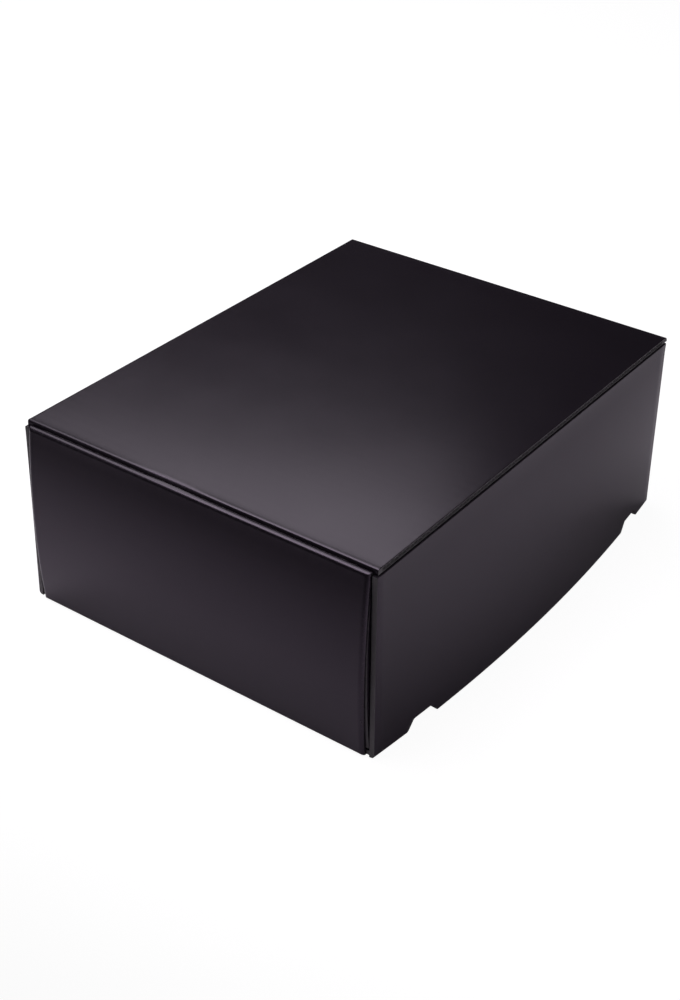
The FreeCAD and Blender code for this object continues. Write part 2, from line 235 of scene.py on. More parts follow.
def new_material(name):
    """Empty material with its node tree."""
    material = bpy.data.materials.new(name)
    material.use_nodes = True
    material.node_tree.nodes.clear()
    return material, material.node_tree


def finish_material(tree, shader):
    """Joins the last shader to the material's output."""
    add_node(tree, "ShaderNodeOutputMaterial", {"Surface": shader})


def object_place(tree):
    """Socket of the place in the object's own frame, in metres."""
    return add_node(tree, "ShaderNodeTexCoord").outputs["Object"]


def shades(tree, share, colour, low, high):
    """Colour that goes from low times to high times the given one as the share goes from 0 to 1."""
    dark, light = (tuple(part * times for part in colour) + (1,) for times in (low, high))
    return add_node(tree, "ShaderNodeMix", {0: share, 6: dark, 7: light}, data_type="RGBA").outputs[2]


def washboard(tree, pitch):
    """Height of the faint waves that the flutes press into a liner, from the attribute across."""
    across = add_node(tree, "ShaderNodeAttribute", attribute_name="across").outputs["Fac"]
    turns = add_node(tree, "ShaderNodeMath", {0: across, 1: 2 * math.pi / pitch}, operation="MULTIPLY")
    return add_node(tree, "ShaderNodeMath", {0: turns.outputs[0]}, operation="SINE").outputs[0]


def film_material(board):
    """Matt-laminated print: a dark, even, satin surface that whitens a little where the film is folded."""
    material, tree = new_material("matt_laminated_black_print")
    place = object_place(tree)
    # Film clouds over a few centimetres, print grain under half a millimetre, rubbed spots of two.
    cloud = add_node(tree, "ShaderNodeTexNoise", {"Vector": place, "Scale": 28.0, "Detail": 3.0})
    grain = add_node(tree, "ShaderNodeTexNoise", {"Vector": place, "Scale": 2400.0, "Detail": 2.0})
    fold = add_node(tree, "ShaderNodeAttribute", attribute_name="fold").outputs["Fac"]
    rub = add_node(
        tree, "ShaderNodeTexNoise", {"Vector": place, "Scale": 420.0, "Detail": 4.0, "Roughness": 0.7})
    rubbed = add_node(
        tree, "ShaderNodeMapRange", {0: rub.outputs["Fac"], 1: 0.42, 2: 0.72, 3: 0.15, 4: 1.0})
    wear = add_node(tree, "ShaderNodeMath", {0: fold, 1: rubbed.outputs[0]}, operation="MULTIPLY")
    tint = shades(tree, cloud.outputs["Fac"], board.film_colour, 0.9, 1.12)
    colour = add_node(
        tree, "ShaderNodeMix",
        {0: wear.outputs[0], 6: tint, 7: tuple(board.scuff_colour) + (1,)}, data_type="RGBA")
    roughness = add_node(
        tree, "ShaderNodeMapRange", {0: cloud.outputs["Fac"], 1: 0.3, 2: 0.7, 3: 0.21, 4: 0.23})
    waves = washboard(tree, board.flute_pitch)
    relief = add_node(
        tree, "ShaderNodeMath", {0: waves, 1: 0.35, 2: grain.outputs["Fac"]}, operation="MULTIPLY_ADD")
    bump = add_node(
        tree, "ShaderNodeBump", {"Height": relief.outputs[0], "Strength": 0.5, "Distance": 0.012 * MM})
    # The film gives a purple cast to what it mirrors.
    shader = add_node(tree, "ShaderNodeBsdfPrincipled", {
        "Base Color": colour.outputs[2], "Roughness": roughness.outputs[0], "Normal": bump.outputs[0],
        "IOR": 1.49, "Specular Tint": (0.93, 0.74, 1.0, 1.0)})
    finish_material(tree, shader.outputs[0])
    return material


def liner_material(board):
    """Uncoated black liner: dull paper with long fibres, the inside of the box."""
    material, tree = new_material("uncoated_black_liner_paper")
    place = object_place(tree)
    # Fibres about 2 mm long and a fifth as wide, and clouds of 2 cm.
    stretched = add_node(tree, "ShaderNodeMapping", {"Vector": place, "Scale": (450.0, 2200.0, 2200.0)})
    fibre = add_node(
        tree, "ShaderNodeTexNoise", {"Vector": stretched.outputs[0], "Scale": 1.0, "Detail": 4.0})
    cloud = add_node(tree, "ShaderNodeTexNoise", {"Vector": place, "Scale": 45.0, "Detail": 3.0})
    blotch = add_node(
        tree, "ShaderNodeMath", {0: fibre.outputs["Fac"], 1: cloud.outputs["Fac"]}, operation="MULTIPLY")
    colour = shades(tree, blotch.outputs[0], board.liner_colour, 0.7, 1.9)
    waves = washboard(tree, board.flute_pitch)
    relief = add_node(
        tree, "ShaderNodeMath", {0: waves, 1: 0.6, 2: fibre.outputs["Fac"]}, operation="MULTIPLY_ADD")
    bump = add_node(
        tree, "ShaderNodeBump", {"Height": relief.outputs[0], "Strength": 0.6, "Distance": 0.03 * MM})
    shader = add_node(tree, "ShaderNodeBsdfPrincipled", {
        "Base Color": colour, "Roughness": 0.78, "Normal": bump.outputs[0], "IOR": 1.45})
    finish_material(tree, shader.outputs[0])
    return material


def edge_material(board):
    """Raw cut edge of the dyed board: torn fibres, dull and a little lighter than the faces."""
    material, tree = new_material("raw_cut_edge_of_dyed_board")
    place = object_place(tree)
    # Torn fibres of half a millimetre.
    fray = add_node(
        tree, "ShaderNodeTexNoise", {"Vector": place, "Scale": 1600.0, "Detail": 5.0, "Roughness": 0.75})
    colour = shades(tree, fray.outputs["Fac"], board.edge_colour, 0.65, 1.35)
    bump = add_node(
        tree, "ShaderNodeBump", {"Height": fray.outputs["Fac"], "Strength": 0.7, "Distance": 0.08 * MM})
    shader = add_node(tree, "ShaderNodeBsdfPrincipled", {
        "Base Color": colour, "Roughness": 0.9, "Normal": bump.outputs[0], "IOR": 1.45})
    finish_material(tree, shader.outputs[0])
    return material


def groove_shade_material(board):
    """Painted shade at the back of a raw edge's groove: the fluted sheet seen end on, deep between the
    liners, where hardly any light gets in, drawn in the cut edge's colour darkened.
    """
    material, tree = new_material("shaded_fluted_medium")
    place = object_place(tree)
    fibre = add_node(tree, "ShaderNodeTexNoise", {"Vector": place, "Scale": 900.0, "Detail": 3.0})
    # Painted shade: the cut edge's colour darkened to a fifth to a half.
    colour = shades(tree, fibre.outputs["Fac"], board.edge_colour, 0.2, 0.5)
    shader = add_node(
        tree, "ShaderNodeBsdfPrincipled", {"Base Color": colour, "Roughness": 0.95, "IOR": 1.45})
    finish_material(tree, shader.outputs[0])
    return material


# Material numbers; the last is the painted shade at the back of a raw edge's groove.
FILM, LINER, EDGE, GROOVE_SHADE = range(4)


def board_materials():
    """The board's materials in the order of the material numbers, made once."""
    board = bpy.context.scene.mailer_board
    names = (
        ("matt_laminated_black_print", film_material),
        ("uncoated_black_liner_paper", liner_material),
        ("raw_cut_edge_of_dyed_board", edge_material),
        ("shaded_fluted_medium", groove_shade_material),
    )
    return [bpy.data.materials.get(name) or make(board) for name, make in names]


# Shape of the folded sheet.


def side_lean(y, z):
    """How far a side wall's layers stand out at the place y and height z."""
    rise = SIDE_BOW - CORNER_SPLAY
    radius = (HALF_LENGTH ** 2 + rise ** 2) / (2 * rise)
    foot = SIDE_BOW - (radius - math.sqrt(max(radius ** 2 - y ** 2, 0)))
    share = (FOLD_HEIGHT - z) / (FOLD_HEIGHT - BOARD)
    return foot * min(max(share, 0), 1)


def end_bulge(z):
    """How far the front and back walls bulge at the height z."""
    half = WALL_HEIGHT / 2
    radius = (half ** 2 + END_BOW ** 2) / (2 * END_BOW)
    return END_BOW - (radius - math.sqrt(max(radius ** 2 - (z - half) ** 2, 0)))


def rounded(points, corners, radius, steps=6):
    """Outline with the numbered corners rounded to a radius."""
    shaped = []
    for number, point in enumerate(points):
        if number not in corners:
            shaped.append(Vector(point))
            continue
        here = Vector(point)
        before = (Vector(points[number - 1]) - here).normalized()
        after = (Vector(points[(number + 1) % len(points)]) - here).normalized()
        half_angle = before.angle(after) / 2
        reach = radius / math.tan(half_angle)
        centre = here + (before + after).normalized() * (radius / math.sin(half_angle))
        start = here + before * reach - centre
        turn = start.angle_signed(here + after * reach - centre)
        for step in range(steps + 1):
            angle = -turn * step / steps
            c, s = math.cos(angle), math.sin(angle)
            shaped.append(centre + Vector((start.x * c - start.y * s, start.x * s + start.y * c)))
    return shaped


def line_distance(point, start, stop):
    """Distance of a point from the line through two points."""
    along = (stop - start).normalized()
    offset = point - start
    return abs(along.x * offset.y - along.y * offset.x)


def lies_on(point, start, stop):
    """True where a point is on the line between two points."""
    reach = (point - start).dot((stop - start).normalized())
    inside = -1e-6 <= reach <= (stop - start).length + 1e-6
    return inside and line_distance(point, start, stop) < 1e-6


def inward_normal(start, stop, middle):
    """Unit vector across an edge, toward the panel's middle."""
    normal = (stop - start).orthogonal().normalized()
    return normal if normal.dot(middle - start) > 0 else -normal


class Fold:
    """Folded edge of a panel's flat outline. swell is (place, extra radius, spread) along it."""

    def __init__(self, start, stop, radius, swell=None):
        self.start, self.stop = Vector(start), Vector(stop)
        self.radius = radius
        self.swell = swell
        self.widest = radius + (swell[1] if swell else 0)

    def distance(self, point):
        return line_distance(point, self.start, self.stop)

    def radius_at(self, point):
        if not self.swell:
            return self.radius
        place, extra, spread = self.swell
        reach = (point - self.start).dot((self.stop - self.start).normalized())
        return self.radius + extra * math.exp(-((reach - place) / spread) ** 2)

    def depth(self, point):
        """How far the rounding sinks the outer skin at a point."""
        radius, distance = self.radius_at(point), self.distance(point)
        if distance >= radius:
            return 0.0
        return radius - math.sqrt(max(radius ** 2 - (radius - distance) ** 2, 0))

    def slices(self, middle):
        """Points and normal of the grid lines along the rounding, on the panel's side."""
        normal = inward_normal(self.start, self.stop, middle)
        for step in range(1, 7):
            yield self.start + normal * self.widest * (1 - math.cos(math.radians(15 * step))), normal
        # One more line keeps the shading of the rounding off the flat of the panel.
        yield self.start + normal * self.widest * 1.15, normal


def slice_lines(mesh, centre, normal):
    """Cuts the flat mesh along one line."""
    parts = mesh.verts[:] + mesh.edges[:] + mesh.faces[:]
    bmesh.ops.bisect_plane(
        mesh, geom=parts, dist=1e-7, plane_co=(centre[0], centre[1], 0), plane_no=(normal[0], normal[1], 0))


def lay_grid(outline, folds, open_segments, spacing):
    """Flat mesh inside the outline, cut into a grid that is finer along the folds and the open edges."""
    mesh = bmesh.new()
    mesh.faces.new([mesh.verts.new((point[0], point[1], 0)) for point in outline])
    low = Vector((min(p[0] for p in outline), min(p[1] for p in outline)))
    high = Vector((max(p[0] for p in outline), max(p[1] for p in outline)))
    for axis, normal in ((0, (1, 0)), (1, (0, 1))):
        count = max(1, round((high[axis] - low[axis]) / spacing))
        for step in range(1, count):
            place = low[axis] + (high[axis] - low[axis]) * step / count
            slice_lines(mesh, (place, place), normal)
    for fold in folds:
        for place, normal in fold.slices((low + high) / 2):
            slice_lines(mesh, place, normal)
    for start, stop in open_segments:
        normal = inward_normal(Vector(start), Vector(stop), (low + high) / 2)
        slice_lines(mesh, Vector(start) + normal * PRESSED_EDGE, normal)
    mesh.verts.ensure_lookup_table()
    mesh.verts.index_update()
    return mesh


class OpenEdges:
    """Raw edges cut across the flutes: which edges of a flat mesh they are and how their groove goes."""

    def __init__(self, flat, segments):
        self.inward = {}
        self.edges = {}
        self.runs = []
        for start, stop in segments:
            start, stop = Vector(start), Vector(stop)
            along = (stop - start).normalized()
            reaches, inward = [], None
            for edge in flat.edges:
                places = [Vector(vertex.co[:2]) for vertex in edge.verts]
                if len(edge.link_faces) != 1 or not all(lies_on(place, start, stop) for place in places):
                    continue
                inward = Vector((-along.y, along.x))
                if inward.dot(Vector(edge.link_faces[0].calc_center_median()[:2]) - places[0]) < 0:
                    inward = -inward
                for vertex in edge.verts:
                    self.inward[vertex.index] = inward
                self.edges[edge.index] = inward
                reaches += [(place - start).dot(along) for place in places]
            if reaches:
                self.runs.append((start + along * min(reaches), start + along * max(reaches), -inward))


def board_panel(name, outline, place, folds=(), across=None, open_segments=()):
    """Closed panel of board. outline is its flat shape; place(a, b, depth) bends it into the box.

    folds lists its folded edges, and across(a, b) is the place across the flutes, where that isn't b.
    open_segments lists the raw edges that show the flutes, as pairs of flat points.
    """
    board = bpy.context.scene.mailer_board
    flat = lay_grid([Vector(point) for point in outline], folds, open_segments, board.grid)
    flat.edges.index_update()
    openings = OpenEdges(flat, open_segments)
    mesh = bmesh.new()
    fold_layer = mesh.verts.layers.float.new("fold")
    across_layer = mesh.verts.layers.float.new("across")
    weight_layer = mesh.edges.layers.float.new("bevel_weight_edge")
    seed = sum(ord(letter) for letter in name)

    def new_vertex(point, depth, crease=0.0):
        vertex = mesh.verts.new(place(point.x, point.y, depth))
        vertex[fold_layer] = crease
        vertex[across_layer] = across(point.x, point.y) if across else point.y
        return vertex

    outer, inner, folded, groove = [], [], [], {}
    for vertex in flat.verts:
        point = Vector(vertex.co[:2])
        crease = max([math.exp(-(fold.distance(point) / WORN_WIDTH) ** 2) for fold in folds], default=0.0)
        depth = max([fold.depth(point) for fold in folds], default=0.0)
        sway = 0.5 + 0.5 * noise.noise(Vector((point.x * WARP_PITCH, point.y * WARP_PITCH, seed)))
        dip = board.warp * sway * (1 - crease)
        top = min(depth + dip, 0.98 * BOARD)
        outer.append(new_vertex(point, top, crease))
        inner.append(new_vertex(point, BOARD - 0.5 * dip))
        folded.append(any(fold.distance(point) < 1e-6 for fold in folds))
        if vertex.index in openings.inward:
            back = point + openings.inward[vertex.index] * board.edge_depth
            low, high = top + board.liner, BOARD - 0.5 * dip - board.liner
            groove[vertex.index] = [
                new_vertex(spot, depth)
                for spot, depth in ((point, low), (back, low), (back, high), (point, high))]
    for face in flat.faces:
        numbers = [vertex.index for vertex in face.verts]
        mesh.faces.new([outer[n] for n in numbers]).material_index = FILM
        mesh.faces.new([inner[n] for n in reversed(numbers)]).material_index = LINER
    seams = {}
    for edge in flat.edges:
        if len(edge.link_faces) != 1:
            continue
        a, b = (vertex.index for vertex in edge.verts)
        if edge.index in openings.edges:
            rows = [[outer[n]] + groove[n] + [inner[n]] for n in (a, b)]
            for step in range(5):
                quad = [rows[0][step], rows[1][step], rows[1][step + 1], rows[0][step + 1]]
                # The middle face, at the back of the groove, gets the painted shade.
                mesh.faces.new(quad).material_index = GROOVE_SHADE if step == 2 else EDGE
            for ring in (outer, inner):
                mesh.edges.get((ring[a], ring[b]))[weight_layer] = 1.0
            for n in (a, b):
                seams[n] = seams.get(n, 0) + 1
            continue
        sides = [groove.get(n, []) for n in (a, b)]
        middle = [[row[0], row[3]] if row else [] for row in sides]
        ring = [outer[a], outer[b], *middle[1], inner[b], inner[a], *reversed(middle[0])]
        wall = mesh.faces.new(ring)
        wall.material_index = FILM if folded[a] and folded[b] else EDGE
        if wall.material_index == EDGE:
            for one, two in ((outer[a], outer[b]), (inner[a], inner[b])):
                mesh.edges.get((one, two))[weight_layer] = 1.0
    # Where a run of raw edges ends, its groove is closed off.
    for n, count in seams.items():
        if count == 1:
            mesh.faces.new(groove[n]).material_index = EDGE
    flat.free()
    bmesh.ops.recalc_face_normals(mesh, faces=mesh.faces[:])
    item = mesh_object(name, mesh)
    soften_edges(item)
    add_flutes(item, openings.runs, place)
    return item


def mesh_object(name, mesh):
    """Object of a finished bmesh."""
    data = bpy.data.meshes.new(name)
    mesh.to_mesh(data)
    mesh.free()
    for material in board_materials():
        data.materials.append(material)
    item = bpy.data.objects.new(name, data)
    bpy.context.scene.collection.objects.link(item)
    smooth(item)
    return item


def smooth(item):
    """Shades an object smooth where its faces meet at a low angle."""
    item.data.shade_smooth()
    item.data.set_sharp_from_angle(angle=math.radians(SMOOTH_ANGLE))


def bake(item):
    """Turns an object's modifiers into plain mesh."""
    bpy.context.view_layer.update()
    graph = bpy.context.evaluated_depsgraph_get()
    data = bpy.data.meshes.new_from_object(
        item.evaluated_get(graph), preserve_all_data_layers=True, depsgraph=graph)
    item.modifiers.clear()
    old = item.data
    item.data = data
    bpy.data.meshes.remove(old)
    data.name = item.name


def soften_edges(item):
    """Rounds the panel's cut edges a little, as a die leaves them."""
    bevel = item.modifiers.new("die_cut_edges", "BEVEL")
    bevel.width = bpy.context.scene.mailer_board.cut_rounding
    bevel.segments = 2
    bevel.limit_method = "WEIGHT"
    bake(item)
    smooth(item)


def add_flutes(item, runs, place):
    """Sets the waved sheets of the open edges into the grooves of a panel."""
    if not runs:
        return
    mesh = bmesh.new()
    mesh.from_mesh(item.data)
    for start, stop, outward in runs:
        data = waved_sheet(start, stop, outward, place)
        mesh.from_mesh(data)
        bpy.data.meshes.remove(data)
    mesh.to_mesh(item.data)
    mesh.free()
    smooth(item)


def mirror_panel(item, name):
    """Left-hand twin of a right-hand panel."""
    mesh = bmesh.new()
    mesh.from_mesh(item.data)
    bmesh.ops.scale(mesh, vec=(-1, 1, 1), verts=mesh.verts[:])
    bmesh.ops.recalc_face_normals(mesh, faces=mesh.faces[:])
    return mesh_object(name, mesh)


def settle(item, body, *nodes):
    """Hands a finished panel to its body in place of the plain nodes."""
    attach(item, body)
    if nodes:
        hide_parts(*nodes)


# Places of the panels: each gives a point from two lengths along the flat panel and a depth into the board.


def lid_place(x, y, depth):
    return Vector((x, y, LID_HIGH.z - depth))


def base_place(x, y, depth):
    return Vector((x, y, depth))


def end_wall_place(side):
    def place(x, z, depth):
        return Vector((x, side * (HALF_LENGTH + end_bulge(z) - depth), z))
    return place


def side_layer_place(layer):
    def place(y, z, depth):
        return Vector((HALF_WIDTH - layer - depth + side_lean(y, z), y, z))
    return place


def inner_layer_place(y, z, depth):
    """The inner wall's printed side faces the cavity, so its depth counts from there."""
    return Vector((HALF_WIDTH - INNER_DEPTH - BOARD + depth + side_lean(y, z), y, z))


def spine_place(y, x, depth):
    return Vector((x, y, WALL_HEIGHT - depth))


FLAP_LEAN = math.atan2(FLAP_HIGH.y - BOARD - LID_LOW.y, FLAP_HIGH.z - FLAP_LOW.z)
FLAP_LENGTH = (FLAP_HIGH.z - FLAP_LOW.z) / math.cos(FLAP_LEAN)


def flap_place(x, drop, depth):
    """drop counts down the tuck flap from its crease."""
    y = LID_LOW.y + drop * math.sin(FLAP_LEAN) + depth * math.cos(FLAP_LEAN)
    z = FLAP_HIGH.z - drop * math.cos(FLAP_LEAN) + depth * math.sin(FLAP_LEAN)
    return Vector((x, y, min(z, FLAP_HIGH.z)))


# Waved sheet between the liners, seen end on at a raw edge.


def flute_tree():
    """Geometry nodes of a waved sheet along X. Y is the place between the liners, Z the way out."""
    tree = bpy.data.node_groups.get("open_flutes")
    if tree:
        return tree
    tree = bpy.data.node_groups.new("open_flutes", "GeometryNodeTree")
    for name in ("Length", "Pitch", "Board", "Liner", "Web", "Depth"):
        tree.interface.new_socket(name, in_out="INPUT", socket_type="NodeSocketFloat")
    tree.interface.new_socket("Material", in_out="INPUT", socket_type="NodeSocketMaterial")
    tree.interface.new_socket("Geometry", in_out="OUTPUT", socket_type="NodeSocketGeometry")
    given = add_node(tree, "NodeGroupInput").outputs

    def work_out(operation, first, second=0.0):
        return add_node(tree, "ShaderNodeMath", {0: first, 1: second}, operation=operation).outputs[0]

    def vector(x=0.0, y=0.0, z=0.0):
        return add_node(tree, "ShaderNodeCombineXYZ", {0: x, 1: y, 2: z}).outputs[0]

    # Sixteen points to a wave draw it round.
    count = work_out("MULTIPLY", work_out("DIVIDE", given["Length"], given["Pitch"]), 16.0)
    line = add_node(tree, "GeometryNodeCurvePrimitiveLine", {"End": vector(x=given["Length"])})
    points = add_node(tree, "GeometryNodeResampleCurve", {"Curve": line.outputs[0], "Count": count})
    place = add_node(tree, "GeometryNodeInputPosition").outputs[0]
    along = add_node(tree, "ShaderNodeSeparateXYZ", {0: place}).outputs[0]
    turns = work_out("MULTIPLY", work_out("DIVIDE", along, given["Pitch"]), 2 * math.pi)
    liners = work_out("MULTIPLY", given["Liner"], 2.0)
    free = work_out("SUBTRACT", work_out("SUBTRACT", given["Board"], given["Web"]), liners)
    height = work_out("MULTIPLY", work_out("SINE", turns), work_out("MULTIPLY", free, 0.5))
    centre = work_out("ADD", height, work_out("MULTIPLY", given["Board"], 0.5))
    waved = add_node(tree, "GeometryNodeSetPosition", {
        "Geometry": points.outputs[0],
        "Offset": vector(y=centre, z=work_out("MULTIPLY", given["Depth"], 0.5))})
    profile = add_node(tree, "GeometryNodeCurvePrimitiveQuadrilateral", {
        "Width": given["Web"], "Height": given["Depth"]})
    web = add_node(tree, "GeometryNodeCurveToMesh", {
        "Curve": waved.outputs[0], "Profile Curve": profile.outputs[0], "Fill Caps": True})
    real = add_node(tree, "GeometryNodeRealizeInstances", {"Geometry": web.outputs[0]})
    done = add_node(
        tree, "GeometryNodeSetMaterial", {"Geometry": real.outputs[0], "Material": given["Material"]})
    add_node(tree, "NodeGroupOutput", {"Geometry": done.outputs[0]})
    return tree


def waved_sheet(start, stop, outward, place):
    """Mesh data of the waved sheet in one open edge, bent into the box by place(a, b, depth)."""
    board = bpy.context.scene.mailer_board
    tree = flute_tree()
    item = bpy.data.objects.new("open_edge", bpy.data.meshes.new("open_edge"))
    bpy.context.scene.collection.objects.link(item)
    flutes = item.modifiers.new("flutes", "NODES")
    flutes.node_group = tree
    values = {
        "Length": (stop - start).length, "Pitch": board.flute_pitch, "Board": BOARD,
        "Liner": board.liner, "Web": board.web, "Depth": 1.2 * board.edge_depth,
        "Material": board_materials()[EDGE],
    }
    for socket in tree.interface.items_tree:
        if socket.item_type == "SOCKET" and socket.in_out == "INPUT":
            flutes[socket.identifier] = values[socket.name]
    bake(item)
    data = item.data
    mesh = bmesh.new()
    mesh.from_mesh(data)
    along = (stop - start).normalized()
    for face in mesh.faces:
        face.material_index = EDGE
    for vertex in mesh.verts:
        # The sheet starts a little behind the groove's floor and ends a little short of the liners' edges.
        spot = start + along * vertex.co.x + outward * (vertex.co.z - 1.3 * board.edge_depth)
        vertex.co = place(spot.x, spot.y, vertex.co.y)
    bmesh.ops.recalc_face_normals(mesh, faces=mesh.faces[:])
    mesh.to_mesh(data)
    mesh.free()
    bpy.data.objects.remove(item)
    return data


class MAILER_OT_base(bpy.types.Operator):
    """Base panel with its four lock slots."""

    bl_idname = "mailer.base"
    bl_label = "Base Panel"

    def execute(self, context):
        end = HALF_LENGTH - BOARD
        steps = 24
        right = []
        stops = sorted(
            {-end + 2 * end * step / steps for step in range(steps + 1)}
            | {place for lock in LOCKS for place in lock})
        in_slot = HALF_WIDTH - INNER_DEPTH - BOARD - TAB_GAP
        for y in stops:
            edge = HALF_WIDTH - BOARD + side_lean(y, 0)
            slot = in_slot + side_lean(y, 0)
            starts = any(abs(y - lock[0]) < 1e-9 for lock in LOCKS)
            ends = any(abs(y - lock[1]) < 1e-9 for lock in LOCKS)
            inside = any(lock[0] + 1e-9 < y < lock[1] - 1e-9 for lock in LOCKS)
            if starts:
                right += [(edge, y), (slot, y)]
            elif ends:
                right += [(slot, y), (edge, y)]
            else:
                right.append((slot if inside else edge, y))
        left = [(-x, y) for x, y in reversed(right)]
        slots = []
        for start, stop in LOCKS:
            for side in (1, -1):
                slots.append([(side * (in_slot + side_lean(y, 0)), y) for y in (start, stop)])
        base = board_panel("base_board", right + left, base_place, open_segments=slots)
        settle(base, "box", "base_panel")
        return {"FINISHED"}


class MAILER_OT_end_walls(bpy.types.Operator):
    """Front and back wall, bulged and folded at the foot and both ends."""

    bl_idname = "mailer.end_walls"
    bl_label = "Front and Back Walls"

    def execute(self, context):
        half = HALF_WIDTH - FLAP_DEPTH
        front = ("front_wall", -1, WALL_HEIGHT + FRONT_RISE, CRUSHED_EDGE)
        for name, side, high, top_radius in (front, ("back_wall", 1, WALL_HEIGHT, TIGHT_FOLD)):
            corners = [Vector(c) for c in ((-half, 0), (half, 0), (half, high), (-half, high))]
            foot = Fold(corners[0], corners[1], CREASE_RADIUS)
            ends = [Fold(corners[1], corners[2], CORNER_RADIUS), Fold(corners[3], corners[0], CORNER_RADIUS)]
            top = Fold(corners[2], corners[3], top_radius)
            wall = board_panel(name + "_board", corners, end_wall_place(side), [foot, top] + ends)
            settle(wall, "box", name)
        return {"FINISHED"}


class MAILER_OT_side_walls(bpy.types.Operator):
    """Rolled side walls: outer layer, spine strip and inner layer with its lock tabs."""

    bl_idname = "mailer.side_walls"
    bl_label = "Side Walls"

    def outer_wall(self):
        low, high = OUTER_LOW.y, OUTER_HIGH.y
        points = [(low, 0)]
        notch_corners = []
        for start, stop in LOCKS:
            points += [(start, 0), (start + LOCK_SLOPE, LOCK_HEIGHT)]
            notch_corners.append(len(points) - 1)
            points += [(stop - LOCK_SLOPE, LOCK_HEIGHT), (stop, 0)]
            notch_corners.append(len(points) - 2)
        points += [(high, 0), (high, WALL_HEIGHT), (low, WALL_HEIGHT)]
        outline = rounded([Vector(p) for p in points], notch_corners, LOCK_CORNER)
        folds = [
            Fold((low, 0), (high, 0), CREASE_RADIUS),
            Fold((high, WALL_HEIGHT), (low, WALL_HEIGHT), SIDE_FOLD)]
        tops = [
            ((start + LOCK_SLOPE, LOCK_HEIGHT), (stop - LOCK_SLOPE, LOCK_HEIGHT)) for start, stop in LOCKS]
        return board_panel(
            "right_outer_side_board", outline, side_layer_place(0), folds, lambda y, z: y, tops)

    def inner_wall(self):
        low, high = INNER_LOW.y, INNER_HIGH.y
        foot, tip = BOARD + TAB_GAP, TAB_GAP
        points = [(low, foot)]
        for start, stop in LOCKS:
            points += [
                (start + TAB_GAP, foot), (start + TAB_GAP + TAB_TAPER, tip),
                (stop - TAB_GAP - TAB_TAPER, tip), (stop - TAB_GAP, foot)]
        points += [(high, foot), (high, WALL_HEIGHT), (low, WALL_HEIGHT)]
        folds = [Fold((high, WALL_HEIGHT), (low, WALL_HEIGHT), CREASE_RADIUS)]
        foots = list(zip(points[0:-3:4], points[1:-2:4])) + list(zip(points[2:-3:4], points[3:-2:4]))
        return board_panel(
            "right_inner_side_board", points, inner_layer_place, folds, lambda y, z: y, foots)

    def spine(self):
        low, high = SPINE_LOW, SPINE_HIGH
        points = [(low.y, low.x), (high.y, low.x), (high.y, high.x), (low.y, high.x)]
        return board_panel("right_spine_board", points, spine_place, (), lambda y, x: y)

    def execute(self, context):
        for make, node in (
            (self.outer_wall, "outer_side_wall"),
            (self.inner_wall, "inner_side_wall"),
            (self.spine, "side_spine"),
        ):
            right = make()
            left = mirror_panel(right, right.name.replace("right_", "left_"))
            settle(right, "box", "right_" + node)
            settle(left, "box", "left_" + node)
        return {"FINISHED"}


class MAILER_OT_corner_flaps(bpy.types.Operator):
    """Corner flaps, held between the layers of the side walls."""

    bl_idname = "mailer.corner_flaps"
    bl_label = "Corner Flaps"

    def execute(self, context):
        low, high = CORNER_LOW.z, CORNER_HIGH.z
        free, root = CORNER_LOW.y, HALF_LENGTH - BOARD
        for title, side in (("front", -1), ("back", 1)):
            edge = [
                (side * (root + end_bulge(low + (high - low) * step / 12)), low + (high - low) * step / 12)
                for step in range(13)]
            tips = [(side * free, high - CORNER_FLAP_TAPER), (side * free, low + CORNER_FLAP_TAPER)]
            points = [Vector(p) for p in edge + tips]
            outline = rounded(points, (len(points) - 2, len(points) - 1), CORNER_FLAP_CORNER)
            flap = board_panel(
                f"right_{title}_corner_board", outline, side_layer_place(FLAP_DEPTH), (), lambda y, z: z,
                [tips])
            twin = mirror_panel(flap, flap.name.replace("right_", "left_"))
            settle(flap, "box", f"right_{title}_corner_flap")
            settle(twin, "box", f"left_{title}_corner_flap")
        return {"FINISHED"}


class MAILER_OT_lid(bpy.types.Operator):
    """Lid panel, folded at the front and back, with open flutes along both sides."""

    bl_idname = "mailer.lid"
    bl_label = "Lid"

    def execute(self, context):
        board = context.scene.mailer_board
        half, front, back = LID_HIGH.x, LID_LOW.y, LID_HIGH.y
        corners = [Vector(c) for c in ((-half, front), (half, front), (half, back), (-half, back))]
        # The board buckled a little here as the flap was tucked in.
        swell = (BUCKLE_PLACE * 2 * half, board.buckle, BUCKLE_SPREAD)
        folds = [
            Fold(corners[0], corners[1], TIGHT_FOLD, swell), Fold(corners[2], corners[3], CORNER_RADIUS)]
        sides = [((side * half, front + BOARD), (side * half, back - BOARD)) for side in (1, -1)]
        lid = board_panel("lid_board", corners, lid_place, folds, None, sides)
        settle(lid, "lid", "lid_panel")
        return {"FINISHED"}


class MAILER_OT_tuck_flap(bpy.types.Operator):
    """Tuck flap that stands behind the front wall."""

    bl_idname = "mailer.tuck_flap"
    bl_label = "Tuck Flap"

    def execute(self, context):
        half = FLAP_HIGH.x
        points = [Vector(p) for p in (
            (-half + FLAP_TAPER, FLAP_LENGTH), (half - FLAP_TAPER, FLAP_LENGTH), (half, 0), (-half, 0))]
        outline = rounded(points, (0, 1), FLAP_CORNER)
        ends = [(points[1], points[2]), (points[3], points[0])]
        flap = board_panel("tuck_flap_board", outline, flap_place, (), None, ends)
        settle(flap, "tuck_flap", "lid_tuck_flap")
        return {"FINISHED"}


